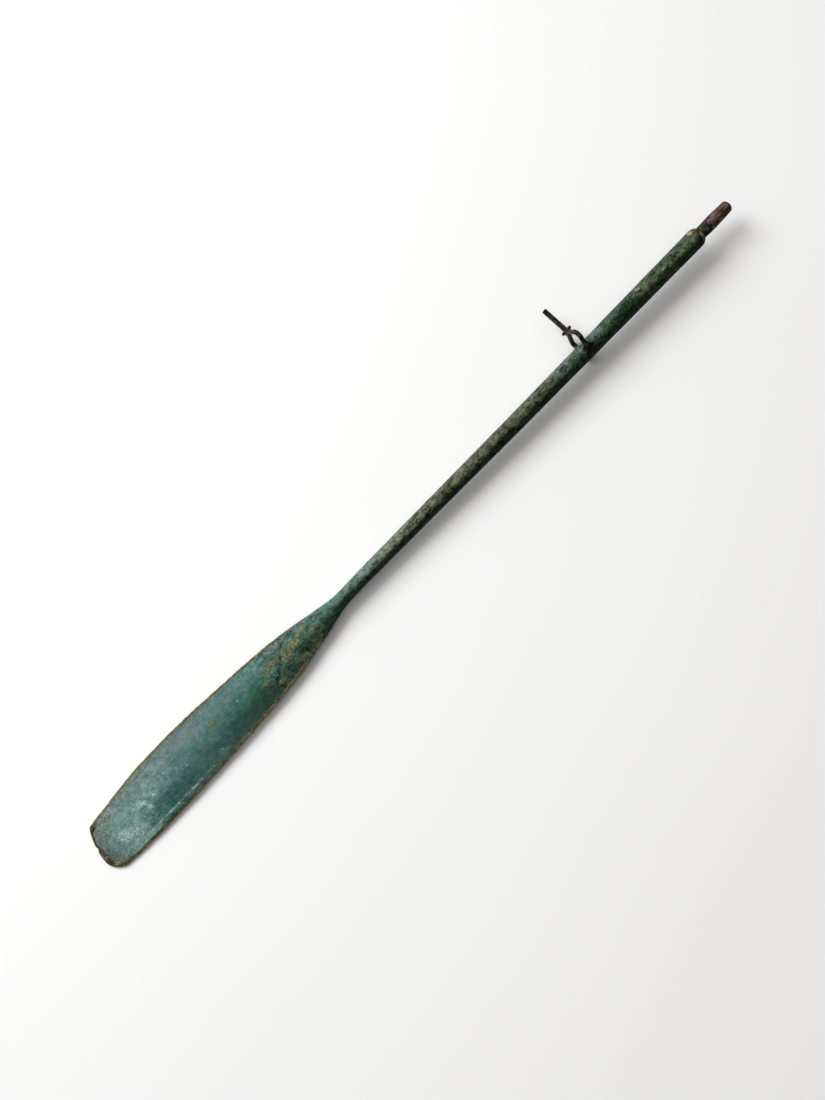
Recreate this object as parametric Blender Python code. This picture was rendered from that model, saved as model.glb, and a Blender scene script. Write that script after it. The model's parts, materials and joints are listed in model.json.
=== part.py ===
"""Rowing oar with a pinned oarlock.

The oar is one carved piece of wood: grip, round loom and flat blade. An iron oarlock straddles the
loom: a fork with two eyes, a flange and a round shank that drops into a socket on a boat's gunwale.
A bolt through the eyes and the loom holds it, and the oarlock swings about that bolt.

Everything is modelled in the oar's own frame and hangs under one empty that lays the oar on the
ground. In that frame +X runs along the loom towards the grip, +Y points along the oarlock's shank,
+Z is the bolt's axis, and the bolt crosses the loom at the origin. Units are metres.
"""

import math

import bmesh
import bpy
from mathutils import Matrix, Vector

# Oar
OAR_LENGTH = 1.981
BOLT_FROM_GRIP_END = 0.470

GRIP_LENGTH = 0.098
GRIP_END_DIAMETER = 0.0277
GRIP_DIAMETER = 0.0318
GRIP_BASE_DIAMETER = 0.0295
GRIP_SWELL_FROM_END = 0.057
GRIP_DOME = 0.009

SHOULDER_LENGTH = 0.018
SHOULDER_DIAMETER = 0.0466
NECK_DIAMETER = 0.033

BLADE_LENGTH = 0.746
BLADE_WIDTH = 0.134
BLADE_MIDDLE_THICKNESS = 0.0100
BLADE_EDGE_THICKNESS = 0.0066
BLADE_EDGE_ROUNDING = 0.007
LEAST_ROUNDING = 1e-6

# The neck sinks into the blade as a spine: how fast it thins, and how sharp its section gets
SPINE_LENGTH = 0.300
SPINE_FULLNESS = 1.6
SPINE_SHARPNESS_AT_NECK = 0.5
SPINE_SHARPNESS_AT_END = 2.0

# The blade's worn tip: how far back each corner starts, how full it is, and where the tip is foremost
TIP_OFFSET = 0.030
TIP_NEAR_CORNER = 0.0275
TIP_NEAR_FULLNESS = 1.5
TIP_FAR_CORNER = 0.036
TIP_FAR_FULLNESS = 2.0

# Blade outline: (share of the blade's length, share of the way from neck to half width).
# Near is the shank's side, +Y, and far is the other.
NEAR_EDGE = (
    (0.0, 0.0),
    (0.027, 0.024),
    (0.06, 0.112),
    (0.147, 0.39),
    (0.28, 0.69),
    (0.456, 0.88),
    (0.63, 0.996),
    (0.75, 0.97),
    (0.858, 0.826),
    (1.0, 0.565),
)
FAR_EDGE = (
    (0.0, 0.0),
    (0.027, 0.022),
    (0.06, 0.105),
    (0.147, 0.36),
    (0.28, 0.674),
    (0.456, 0.86),
    (0.63, 0.984),
    (0.777, 1.048),
    (0.871, 1.044),
    (1.0, 0.96),
)

# Bolt, nut and washers
BOLT_DIAMETER = 0.0095
BOLT_HEAD_DIAMETER = 0.0150
BOLT_HEAD_HEIGHT = 0.0055
BOLT_PAST_NUT = 0.0040
BOLT_END_CHAMFER = 0.0008
NUT_ACROSS_FLATS = 0.016
NUT_HEIGHT = 0.008
NUT_WASHER_DIAMETER = 0.022
NUT_WASHER_THICKNESS = 0.002
WEAR_WASHER_DIAMETER = 0.0215
WEAR_WASHER_THICKNESS = 0.0016
SEAT_DEPTH = 0.0015

# Oarlock
EYE_DIAMETER = 0.0195
EYE_THICKNESS = 0.008
EYE_EDGE = 0.0012
ARM_DIAMETER = 0.011
ARM_SPREAD = 0.0125
ARM_BEND_RADIUS = 0.008
ARM_SLOPE_LENGTH = 0.0125
FORK_BEND_RADIUS = 0.010
FORK_BEND_PAST_LOOM = 0.0182
CROTCH_PAST_LOOM = 0.0367
CROTCH_OVERLAP = 0.0022
NECK_BODY_DIAMETER = 0.0165
NECK_BODY_TOP_DIAMETER = 0.0215
NECK_BODY_LENGTH = 0.0080
NECK_BODY_CHAMFER = 0.0035
FLANGE_DIAMETER = 0.028
FLANGE_THICKNESS = 0.005
FLANGE_EDGE = 0.001
SHANK_DIAMETER = 0.0119
SHANK_LENGTH = 0.066
SHANK_CHAMFER = 0.0015

# Fits
TOUCH_GAP = 0.0003
BOLT_CLEARANCE = 0.00035
SEAT_CLEARANCE = 0.001
ARM_PAST_WASHERS = 0.0035
ARM_END_PAST_HOLE = 0.001
ARM_BELOW_EYE_FACE = 0.0001

# Facets
OAR_SIDES = 32
BAR_SIDES = 14
ROUND_SIDES = 24
BEND_STEPS = 4
DOME_STEPS = 5
GRIP_STEPS = 6
LOOM_STEPS = 3
FLARE_STEPS = 12
BLADE_STEPS = 12
TIP_STEPS = 9
SHARP_EDGE_DEGREES = 35

CUT_MARGIN = 0.02

# Laying the oar down
MOST_TILT_DEGREES = 10
TILT_STEPS = 50

# Plain colour, roughness and how metallic
FINISHES = {
    "green_painted_wood": ((0.035, 0.085, 0.062), 0.62, 0.0),
    "dark_forged_iron": ((0.030, 0.024, 0.024), 0.55, 0.8),
    "dull_steel": ((0.16, 0.15, 0.14), 0.5, 0.9),
    "rusty_steel": ((0.075, 0.050, 0.042), 0.6, 0.8),
}

# Places that follow from the sizes above
NECK_FROM_GRIP_END = OAR_LENGTH - BLADE_LENGTH
LOOM_START = GRIP_LENGTH + SHOULDER_LENGTH
SEAT_DIAMETER = WEAR_WASHER_DIAMETER + 2 * SEAT_CLEARANCE
HOLE_RADIUS = BOLT_DIAMETER / 2 + BOLT_CLEARANCE


def loom_radius(from_grip_end):
    """The loom tapers evenly from the shoulder to the neck."""
    share = (from_grip_end - LOOM_START) / (NECK_FROM_GRIP_END - LOOM_START)
    return (SHOULDER_DIAMETER + (NECK_DIAMETER - SHOULDER_DIAMETER) * share) / 2


LOOM_RADIUS_AT_BOLT = loom_radius(BOLT_FROM_GRIP_END)
SEAT_Z = LOOM_RADIUS_AT_BOLT - SEAT_DEPTH
WEAR_WASHER_Z = SEAT_Z + TOUCH_GAP
EYE_Z = WEAR_WASHER_Z + WEAR_WASHER_THICKNESS + TOUCH_GAP
OUTER_Z = EYE_Z + EYE_THICKNESS + TOUCH_GAP
NUT_Z = -(OUTER_Z + NUT_WASHER_THICKNESS + TOUCH_GAP + NUT_HEIGHT)
BOLT_END_Z = NUT_Z - BOLT_PAST_NUT

# The arms leave the eyes past everything round the bolt, then slope out, run straight and bend in
EYE_MIDDLE_Z = EYE_Z + EYE_THICKNESS / 2
ARM_Z = EYE_MIDDLE_Z + ARM_SPREAD
SLOPE_START_Y = max(EYE_DIAMETER, WEAR_WASHER_DIAMETER, NUT_WASHER_DIAMETER) / 2 + ARM_PAST_WASHERS
SLOPE_END_Y = SLOPE_START_Y + ARM_SLOPE_LENGTH
FORK_BEND_Y = LOOM_RADIUS_AT_BOLT + FORK_BEND_PAST_LOOM
CROTCH_Y = LOOM_RADIUS_AT_BOLT + CROTCH_PAST_LOOM
FLANGE_Y = CROTCH_Y + CROTCH_OVERLAP
SHANK_END_Y = FLANGE_Y + FLANGE_THICKNESS + SHANK_LENGTH


def clear_scene():
    for thing in list(bpy.data.objects):
        bpy.data.objects.remove(thing, do_unlink=True)


def finish_material(name):
    colour, roughness, metallic = FINISHES[name]
    made = bpy.data.materials.new(name)
    made.use_nodes = True
    shader = made.node_tree.nodes["Principled BSDF"]
    shader.inputs["Base Color"].default_value = (*colour, 1.0)
    shader.inputs["Roughness"].default_value = roughness
    shader.inputs["Metallic"].default_value = metallic
    return made


def add_empty(name, parent=None):
    empty = bpy.data.objects.new(name, None)
    empty.parent = parent
    bpy.context.collection.objects.link(empty)
    return empty


def add_object(name, bm, parent, material=None):
    """Turns a bmesh into a smooth-shaded object with its faces pointing out."""
    bmesh.ops.recalc_face_normals(bm, faces=bm.faces)
    mesh = bpy.data.meshes.new(name)
    bm.to_mesh(mesh)
    bm.free()
    mesh.shade_smooth()
    mesh.set_sharp_from_angle(angle=math.radians(SHARP_EDGE_DEGREES))
    made = bpy.data.objects.new(name, mesh)
    made.parent = parent
    if material:
        mesh.materials.append(material)
    bpy.context.collection.objects.link(made)
    return made


def add_boolean(target, other, operation):
    """Joins or cuts with another object, which is then only a guide."""
    other.hide_render = True
    other.display_type = "WIRE"
    step = target.modifiers.new(other.name, "BOOLEAN")
    step.operation = operation
    step.solver = "EXACT"
    step.object = other


def loft(rings):
    """A closed body through rings of points. A ring of one point closes an end."""
    bm = bmesh.new()
    made = [[bm.verts.new(p) for p in ring] for ring in rings]
    for a, b in zip(made, made[1:]):
        count = max(len(a), len(b))
        for i in range(count):
            j = (i + 1) % count
            corners = [a[i % len(a)], a[j % len(a)], b[j % len(b)], b[i % len(b)]]
            bm.faces.new(list(dict.fromkeys(corners)))
    for end in (made[0], made[-1]):
        if len(end) > 1:
            bm.faces.new(end)
    return bm


def circle(radius, sides, height=0.0, first=0.5):
    """Points of a circle about Z. The first is on +X, or half a step past it."""
    angles = [(i + first) * math.tau / sides for i in range(sides)]
    return [Vector((radius * math.cos(a), radius * math.sin(a), height)) for a in angles]


def turned(profile, sides=ROUND_SIDES):
    """A solid turned about Z from (radius, height) pairs. A radius of 0 closes an end."""
    return loft([circle(r, sides, z) if r > 0 else [Vector((0, 0, z))] for r, z in profile])


def ring_solid(bore_radius, sections):
    """A turned solid with a bore, from (radius, height) pairs that run up its outside."""
    bm = bmesh.new()
    closed = [(bore_radius, sections[0][1]), *sections, (bore_radius, sections[-1][1])]
    made = [[bm.verts.new(p) for p in circle(r, ROUND_SIDES, z)] for r, z in closed]
    for a, b in zip(made, made[1:] + made[:1]):
        for i in range(ROUND_SIDES):
            j = (i + 1) % ROUND_SIDES
            bm.faces.new((a[i], a[j], b[j], b[i]))
    return bm


def smooth_curve(points, at):
    """A curve through (place, value) pairs that never swings past them (monotone cubic)."""
    slopes = [(b[1] - a[1]) / (b[0] - a[0]) for a, b in zip(points, points[1:])]
    tangents = [slopes[0]]
    for before, after in zip(slopes, slopes[1:]):
        same_way = before * after > 0
        tangents.append(2 * before * after / (before + after) if same_way else 0.0)
    tangents.append(slopes[-1])
    last = len(points) - 2
    i = next((k for k in range(last) if at < points[k + 1][0]), last)
    (x0, y0), (x1, y1) = points[i], points[i + 1]
    width = x1 - x0
    t = (at - x0) / width
    rise = y1 - y0
    bend_in = width * tangents[i] - rise
    bend_out = rise - width * tangents[i + 1]
    return y0 + rise * t + t * (1 - t) * ((1 - t) * bend_in + t * bend_out)


def fade(share):
    """Goes from 0 to 1 as share does, level at both ends."""
    t = min(max(share, 0.0), 1.0)
    return t * t * (3 - 2 * t)


def quarter(share, fullness=2.0):
    """The height of a rounded quarter, 0 to 1, at a share of its length."""
    t = min(max(share, 0.0), 1.0)
    return (1 - (1 - t) ** fullness) ** (1 / fullness)


def grip_radius(from_end):
    """A domed end, a slight swell for the palm and a waist at the base."""
    end, middle, base = GRIP_END_DIAMETER / 2, GRIP_DIAMETER / 2, GRIP_BASE_DIAMETER / 2
    swell = ((0.0, end), (GRIP_SWELL_FROM_END, middle), (GRIP_LENGTH, base))
    return smooth_curve(swell, from_end) * quarter(from_end / GRIP_DOME)


def shoulder_radius(from_start):
    base, full = GRIP_BASE_DIAMETER / 2, SHOULDER_DIAMETER / 2
    return base + (full - base) * quarter(from_start / SHOULDER_LENGTH)


def edge_at(outline, corner, fullness, offset, from_neck):
    """Half width of one side of the blade, with its corner at the tip rounded off."""
    neck = NECK_DIAMETER / 2
    reach = BLADE_WIDTH / 2 - neck
    from_tip = BLADE_LENGTH - from_neck
    side = neck + reach * smooth_curve(outline, from_neck / BLADE_LENGTH)
    if from_tip >= corner:
        return side
    return offset + (side - offset) * quarter(from_tip / corner, fullness)


def near_edge(from_neck):
    return edge_at(NEAR_EDGE, TIP_NEAR_CORNER, TIP_NEAR_FULLNESS, -TIP_OFFSET, from_neck)


def far_edge(from_neck):
    return edge_at(FAR_EDGE, TIP_FAR_CORNER, TIP_FAR_FULLNESS, TIP_OFFSET, from_neck)


def blade_half_thickness(from_neck, across):
    """Half thickness at a share across the blade, -1 to 1: a slab with a crown and a spine.

    At the neck this is a circle. The spine sinks into a low crown along the blade.
    """
    flat = fade(from_neck / SPINE_LENGTH)
    neck = NECK_DIAMETER / 2
    slab = BLADE_EDGE_THICKNESS / 2
    crown = (BLADE_MIDDLE_THICKNESS - BLADE_EDGE_THICKNESS) / 2
    low = quarter(from_neck / SPINE_LENGTH, SPINE_FULLNESS)
    rise = neck + (crown - neck) * low
    sharper = SPINE_SHARPNESS_AT_END - SPINE_SHARPNESS_AT_NECK
    sharpness = SPINE_SHARPNESS_AT_NECK + sharper * flat
    half_width = (near_edge(from_neck) + far_edge(from_neck)) / 2
    rounding = max(BLADE_EDGE_ROUNDING * flat, LEAST_ROUNDING)
    to_side = (1 - abs(across)) * half_width
    from_tip = BLADE_LENGTH - from_neck
    edge = quarter(to_side / rounding) * quarter(from_tip / BLADE_EDGE_ROUNDING)
    return edge * (slab * low + rise * (1 - across * across) ** sharpness)


def oar_x(from_grip_end):
    return BOLT_FROM_GRIP_END - from_grip_end


def round_section(from_grip_end, radius):
    x = oar_x(from_grip_end)
    return [Vector((x, p.x, p.y)) for p in circle(radius, OAR_SIDES, first=0)]


def blade_section(from_neck):
    """One section of the blade, with its points gathered towards the two edges."""
    near, far = near_edge(from_neck), far_edge(from_neck)
    middle, half = (near - far) / 2, (near + far) / 2
    x = oar_x(NECK_FROM_GRIP_END + from_neck)
    section = []
    for p in circle(1.0, OAR_SIDES, first=0):
        rise = blade_half_thickness(from_neck, p.x)
        section.append(Vector((x, middle + half * p.x, math.copysign(rise, p.y))))
    return section


def even_steps(start, end, count):
    """Places from just past start up to end, evenly apart."""
    return [start + (end - start) * k / count for k in range(1, count + 1)]


def rounding_steps(length, count):
    """Places along a rounded quarter, close together where it is steep."""
    return [length * (1 - math.cos(k * math.pi / 2 / count)) for k in range(1, count + 1)]


def oar_rings():
    grip = rounding_steps(GRIP_DOME, DOME_STEPS) + even_steps(GRIP_DOME, GRIP_LENGTH, GRIP_STEPS)
    rings = [[Vector((oar_x(0), 0, 0))]]
    rings += [round_section(u, grip_radius(u)) for u in grip]
    for along in rounding_steps(SHOULDER_LENGTH, DOME_STEPS):
        rings.append(round_section(GRIP_LENGTH + along, shoulder_radius(along)))
    # A section either side of the bolt keeps the facets even where the seats are cut
    by_bolt = [BOLT_FROM_GRIP_END + side * SEAT_DIAMETER for side in (-1, 1)]
    to_neck = even_steps(by_bolt[1], NECK_FROM_GRIP_END, LOOM_STEPS)[:-1]
    rings += [round_section(u, loom_radius(u)) for u in by_bolt + to_neck]
    # Close together where the neck flares, wider apart along the blade, close again at the tip
    tip_start = BLADE_LENGTH - TIP_FAR_CORNER
    blade = [0.0, *even_steps(0.0, SPINE_LENGTH, FLARE_STEPS)]
    blade += even_steps(SPINE_LENGTH, tip_start, BLADE_STEPS)
    tip = rounding_steps(TIP_FAR_CORNER, TIP_STEPS)[:-1]
    blade += [BLADE_LENGTH - from_tip for from_tip in reversed(tip)]
    rings += [blade_section(v) for v in blade]
    rings.append([Vector((oar_x(OAR_LENGTH), -TIP_OFFSET, 0))])
    return rings


def make_oar_body(frame):
    wood = finish_material("green_painted_wood")
    oar = add_object("oar_body", loft(oar_rings()), frame, wood)
    depth = LOOM_RADIUS_AT_BOLT + CUT_MARGIN
    hole = turned([(0, -depth), (HOLE_RADIUS, -depth), (HOLE_RADIUS, depth), (0, depth)])
    add_boolean(oar, add_object("cut_bolt_hole", hole, frame), "DIFFERENCE")
    for side, name in ((1, "cut_upper_seat"), (-1, "cut_lower_seat")):
        radius = SEAT_DIAMETER / 2
        low, high = sorted((side * SEAT_Z, side * depth))
        seat = turned([(0, low), (radius, low), (radius, high), (0, high)])
        add_boolean(oar, add_object(name, seat, frame), "DIFFERENCE")
    return oar


def make_washer(name, diameter, thickness, near_face, side, frame, steel):
    """A flat washer whose face nearer the loom is at height near_face on one side."""
    low, high = sorted((side * near_face, side * (near_face + thickness)))
    washer = ring_solid(HOLE_RADIUS, [(diameter / 2, low), (diameter / 2, high)])
    return add_object(name, washer, frame, steel)


def make_bolt(frame, steel):
    """A round-headed bolt. Its head sits on the upper eye."""
    radius, head = BOLT_DIAMETER / 2, BOLT_HEAD_DIAMETER / 2
    profile = [
        (0, BOLT_END_Z),
        (radius - BOLT_END_CHAMFER, BOLT_END_Z),
        (radius, BOLT_END_Z + BOLT_END_CHAMFER),
        (radius, OUTER_Z),
    ]
    for k in range(DOME_STEPS):
        a = k * math.pi / 2 / DOME_STEPS
        profile.append((head * math.cos(a), OUTER_Z + BOLT_HEAD_HEIGHT * math.sin(a)))
    profile.append((0, OUTER_Z + BOLT_HEAD_HEIGHT))
    return add_object("pivot_bolt", turned(profile), frame, steel)


def make_nut(frame, steel):
    """A square nut, bored to clear the bolt."""
    bm = bmesh.new()
    bmesh.ops.create_cube(bm, size=1.0)
    size = (NUT_ACROSS_FLATS, NUT_ACROSS_FLATS, NUT_HEIGHT)
    bmesh.ops.scale(bm, vec=size, verts=bm.verts)
    bmesh.ops.translate(bm, vec=(0, 0, NUT_Z + NUT_HEIGHT / 2), verts=bm.verts)
    nut = add_object("pivot_nut", bm, frame, steel)
    low, high = NUT_Z - CUT_MARGIN, NUT_Z + NUT_HEIGHT + CUT_MARGIN
    bore = turned([(0, low), (HOLE_RADIUS, low), (HOLE_RADIUS, high), (0, high)])
    add_boolean(nut, add_object("cut_nut_bore", bore, frame), "DIFFERENCE")
    return nut


def rounded_path(corners, radii):
    """Points along straight runs joined by arcs, for corners in a plane."""
    path = [corners[0]]
    for before, corner, after, radius in zip(corners, corners[1:], corners[2:], radii):
        arrive, leave = (corner - before).normalized(), (after - corner).normalized()
        turn = arrive.angle(leave)
        reach = radius * math.tan(turn / 2)
        inward = (leave - arrive).normalized()
        centre = corner + inward * (radius / math.cos(turn / 2))
        start = corner - arrive * reach - centre
        axis = arrive.cross(leave)
        for k in range(BEND_STEPS + 1):
            path.append(centre + Matrix.Rotation(turn * k / BEND_STEPS, 3, axis) @ start)
    path.append(corners[-1])
    return path


def arm_rings(side):
    """A bar from the eye to the fork's crotch, thinned where it runs into the eye."""
    corners = [
        Vector((0, HOLE_RADIUS + ARM_END_PAST_HOLE, side * EYE_MIDDLE_Z)),
        Vector((0, SLOPE_START_Y, side * EYE_MIDDLE_Z)),
        Vector((0, SLOPE_END_Y, side * ARM_Z)),
        Vector((0, FORK_BEND_Y, side * ARM_Z)),
        Vector((0, CROTCH_Y, side * CROTCH_OVERLAP)),
    ]
    path = rounded_path(corners, (ARM_BEND_RADIUS, ARM_BEND_RADIUS, FORK_BEND_RADIUS))
    thin, full = EYE_THICKNESS / 2 - ARM_BELOW_EYE_FACE, ARM_DIAMETER / 2
    rings = []
    for i, point in enumerate(path):
        before, after = path[max(i - 1, 0)], path[min(i + 1, len(path) - 1)]
        along = (after - before).normalized()
        across = along.cross(Vector((1, 0, 0)))
        half = thin + (full - thin) * fade((point.y - SLOPE_START_Y) / ARM_SLOPE_LENGTH)
        rings.append([point + Vector((full * p.x, 0, 0)) + across * half * p.y
                      for p in circle(1.0, BAR_SIDES)])
    return rings


def make_eye(side):
    radius = EYE_DIAMETER / 2
    low, high = sorted((side * EYE_Z, side * (EYE_Z + EYE_THICKNESS)))
    inner = radius - EYE_EDGE
    return turned([
        (0, low), (inner, low), (radius, low + EYE_EDGE),
        (radius, high - EYE_EDGE), (inner, high), (0, high),
    ])


def make_shank_body():
    """Neck, flange and shank, turned about +Y. The neck starts inside the crotch."""
    neck, neck_top = NECK_BODY_DIAMETER / 2, NECK_BODY_TOP_DIAMETER / 2
    flange, shank = FLANGE_DIAMETER / 2, SHANK_DIAMETER / 2
    neck_start = FLANGE_Y - NECK_BODY_LENGTH
    flange_end = FLANGE_Y + FLANGE_THICKNESS
    bm = turned([
        (0, neck_start),
        (neck - NECK_BODY_CHAMFER, neck_start),
        (neck, neck_start + NECK_BODY_CHAMFER),
        (neck_top, FLANGE_Y),
        (flange - FLANGE_EDGE, FLANGE_Y),
        (flange, FLANGE_Y + FLANGE_EDGE),
        (flange, flange_end - FLANGE_EDGE),
        (flange - FLANGE_EDGE, flange_end),
        (shank, flange_end),
        (shank, SHANK_END_Y - SHANK_CHAMFER),
        (shank - SHANK_CHAMFER, SHANK_END_Y),
        (0, SHANK_END_Y),
    ])
    bmesh.ops.rotate(bm, matrix=Matrix.Rotation(-math.pi / 2, 3, "X"), verts=bm.verts)
    return bm


def make_oarlock(frame):
    """The forged oarlock, hung from an empty on the bolt's axis."""
    pivot = add_empty("oarlock_pivot", frame)
    iron = finish_material("dark_forged_iron")
    yoke = add_object("oarlock_yoke", make_shank_body(), pivot, iron)
    for side, word in ((1, "upper"), (-1, "lower")):
        add_boolean(yoke, add_object(f"join_{word}_arm", loft(arm_rings(side)), pivot), "UNION")
        add_boolean(yoke, add_object(f"join_{word}_eye", make_eye(side), pivot), "UNION")
    depth = EYE_Z + EYE_THICKNESS + CUT_MARGIN
    hole = turned([(0, -depth), (HOLE_RADIUS, -depth), (HOLE_RADIUS, depth), (0, depth)])
    add_boolean(yoke, add_object("cut_eye_holes", hole, pivot), "DIFFERENCE")
    return yoke


def lowest(points, tilt):
    return min(p.x * math.sin(tilt) + p.z * math.cos(tilt) for p in points)


def rest_tilt(blade_points, other_points):
    """The slope at which the blade's tip and the lowest thing by the bolt touch the ground."""
    low, high = 0.0, math.radians(MOST_TILT_DEGREES)
    for _ in range(TILT_STEPS):
        middle = (low + high) / 2
        if lowest(blade_points, middle) > lowest(other_points, middle):
            low = middle
        else:
            high = middle
    return low


def lay_down(frame, oar, yoke, bolt):
    """Lays the oar on z = 0, centred over the origin."""
    wood = [v.co for v in oar.data.vertices]
    blade = [p for p in wood if p.x < oar_x(NECK_FROM_GRIP_END)]
    metal = [v.co for piece in (yoke, bolt) for v in piece.data.vertices]
    metal += [p for side in (1, -1) for ring in arm_rings(side) for p in ring]
    tilt = rest_tilt(blade, metal)
    turn = Matrix.Rotation(-tilt, 4, "Y")
    laid = [turn @ p for p in wood + metal]
    ends = [[f(p[axis] for p in laid) for f in (min, max)] for axis in range(3)]
    frame.rotation_euler = (0, -tilt, 0)
    frame.location = (-sum(ends[0]) / 2, -sum(ends[1]) / 2, -ends[2][0])


def main():
    clear_scene()
    frame = add_empty("oar_frame")
    steel = finish_material("dull_steel")
    worn = finish_material("rusty_steel")
    oar = make_oar_body(frame)
    for side, word in ((1, "upper"), (-1, "lower")):
        make_washer(f"wear_washer_{word}", WEAR_WASHER_DIAMETER, WEAR_WASHER_THICKNESS,
                    WEAR_WASHER_Z, side, frame, steel)
    make_washer("nut_washer", NUT_WASHER_DIAMETER, NUT_WASHER_THICKNESS, OUTER_Z, -1, frame, steel)
    bolt = make_bolt(frame, worn)
    make_nut(frame, worn)
    yoke = make_oarlock(frame)
    lay_down(frame, oar, yoke, bolt)


main()
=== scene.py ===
import json
import math

import bmesh
import bpy
import numpy as np
from mathutils import Matrix, Vector, noise


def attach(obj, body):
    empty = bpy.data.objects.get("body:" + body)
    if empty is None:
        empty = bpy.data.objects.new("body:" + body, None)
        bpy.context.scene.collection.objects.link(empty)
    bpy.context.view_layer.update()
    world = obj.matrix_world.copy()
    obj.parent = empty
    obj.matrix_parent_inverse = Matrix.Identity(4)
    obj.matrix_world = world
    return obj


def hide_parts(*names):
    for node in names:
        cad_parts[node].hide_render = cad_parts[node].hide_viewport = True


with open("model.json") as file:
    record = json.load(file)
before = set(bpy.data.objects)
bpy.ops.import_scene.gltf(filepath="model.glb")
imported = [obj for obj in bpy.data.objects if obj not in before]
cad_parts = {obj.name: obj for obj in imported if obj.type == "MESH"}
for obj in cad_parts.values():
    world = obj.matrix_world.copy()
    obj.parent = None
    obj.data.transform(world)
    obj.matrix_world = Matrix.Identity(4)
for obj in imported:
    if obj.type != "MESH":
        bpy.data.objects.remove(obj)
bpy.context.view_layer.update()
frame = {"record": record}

# The oar's own frame: +X along the loom to the grip, +Y along the shank, +Z the bolt's axis
JOINT = frame["record"]["behaviour"]["joints"][0]
PIVOT = Vector(JOINT["pos_m"])
UP = Vector(JOINT["axis"]).normalized()
SIDE = Vector((0.0, 1.0, 0.0))
ALONG = SIDE.cross(UP)
TO_WORLD = Matrix((
    (ALONG.x, SIDE.x, UP.x, PIVOT.x),
    (ALONG.y, SIDE.y, UP.y, PIVOT.y),
    (ALONG.z, SIDE.z, UP.z, PIVOT.z),
    (0, 0, 0, 1),
))

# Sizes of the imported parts, in metres
OAR_LENGTH = 1.981
BOLT_AT = 0.470
GRIP_LENGTH = 0.098
GRIP_SWELL = ((0.0, 0.01385), (0.057, 0.0159), (GRIP_LENGTH, 0.01475))
GRIP_END_ROUNDING = 0.009
SHOULDER_LENGTH = 0.018
LOOM_START = GRIP_LENGTH + SHOULDER_LENGTH
NECK_AT = 1.235
BLADE_LENGTH = 0.746
NECK_RADIUS = 0.0165
SHOULDER_RADIUS = 0.0233
HALF_WIDTH = 0.067
SPINE_LENGTH = 0.300
EDGE_HALF = 0.0033
CROWN = 0.0017
TIP_OFFSET = 0.030
HOLE_RADIUS = 0.0051
LOOM_RADIUS = 0.021149
SEAT_RADIUS = 0.01175
SEAT_Z = LOOM_RADIUS - 0.0015


def clamp(x, low=0.0, high=1.0):
    return min(max(x, low), high)


def fade(x, start=0.0, end=1.0):
    """0 at the start and 1 at the end, smooth between them."""
    t = clamp((x - start) / (end - start))
    return t * t * (3 - 2 * t)


def bump(x, middle, half):
    """1 at the middle, fading to 0 at half a width away."""
    return fade(1 - abs(x - middle) / half)


def quarter(share, fullness=2.0):
    """A rounded rise from 0 to 1, a quarter of an ellipse at fullness 2."""
    t = clamp(share)
    return (1 - (1 - t) ** fullness) ** (1 / fullness)


def smooth_curve(points, at):
    """A curve through (x, y) points that doesn't overshoot them."""
    slopes = [(b[1] - a[1]) / (b[0] - a[0]) for a, b in zip(points, points[1:])]
    tangents = [slopes[0]]
    for before, after in zip(slopes, slopes[1:]):
        same_way = before * after > 0
        tangents.append(2 * before * after / (before + after) if same_way else 0.0)
    tangents.append(slopes[-1])
    last = len(points) - 2
    i = next((k for k in range(last) if at < points[k + 1][0]), last)
    (x0, y0), (x1, y1) = points[i], points[i + 1]
    width = x1 - x0
    t = (at - x0) / width
    rise = y1 - y0
    bend_in = width * tangents[i] - rise
    bend_out = rise - width * tangents[i + 1]
    return y0 + rise * t + t * (1 - t) * ((1 - t) * bend_in + t * bend_out)


def rough(x, y, z, scale, seed=0.0):
    """Smooth noise, -1 to 1, at a scale in metres."""
    return noise.noise(Vector((x / scale + seed, y / scale + 7.3 * seed, z / scale - seed)))


def linked(name, data):
    """A new object in the scene."""
    made = bpy.data.objects.new(name, data)
    bpy.context.scene.collection.objects.link(made)
    return made


def mesh_of(bm, name):
    """The mesh of a bmesh, which is freed."""
    mesh = bpy.data.meshes.new(name)
    bm.to_mesh(mesh)
    bm.free()
    return mesh


def store(mesh, name, values):
    """Keeps a number for each vertex of a mesh."""
    mesh.attributes.new(name, "FLOAT", "POINT").data.foreach_set("value", values)


def add_object(name, mesh, body, material, replaced):
    """Places a mesh that is made in the oar's own frame."""
    mesh.name = name
    mesh.transform(TO_WORLD)
    made = linked(name, mesh)
    mesh.materials.clear()
    mesh.materials.append(material)
    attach(made, body)
    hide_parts(replaced)


# ---------------- materials

# Colours, as linear red, green and blue
WOOD_PORE = (0.014, 0.009, 0.007)
WOOD_GRAIN = (0.082, 0.047, 0.036)
WOOD_STREAK = (0.19, 0.100, 0.056)
WOOD_WEATHERED = (0.22, 0.165, 0.130)
WOOD_DIRT = (0.010, 0.007, 0.006)
STAIN_OLIVE = (0.070, 0.088, 0.036)
STAIN_OCHRE = (0.325, 0.300, 0.168)
FLECK_THIN = (0.170, 0.275, 0.248)
FLECK_CHALK = (0.46, 0.55, 0.515)
# Black for pits of dirt, and for painted shade round the bolt, on the blade's root and by its back
# edge
PAINT_DIRT_AND_SHADE = (0.007, 0.009, 0.005)
PAINT_RUBBED = (0.030, 0.027, 0.017)
RUST_DARK = (0.050, 0.020, 0.012)
RUST_LIGHT = (0.150, 0.066, 0.036)
PATINA = (0.105, 0.115, 0.098)
# Near-black painted shade for the iron round the bolt
BOLT_SHADE_COLOUR = (0.004, 0.003, 0.003)
IRON_SPECULAR_TINT = (0.45, 0.36, 0.38, 1.0)
PAINT_BUMP = 0.0007
IRON_BUMP = 0.0004


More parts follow.
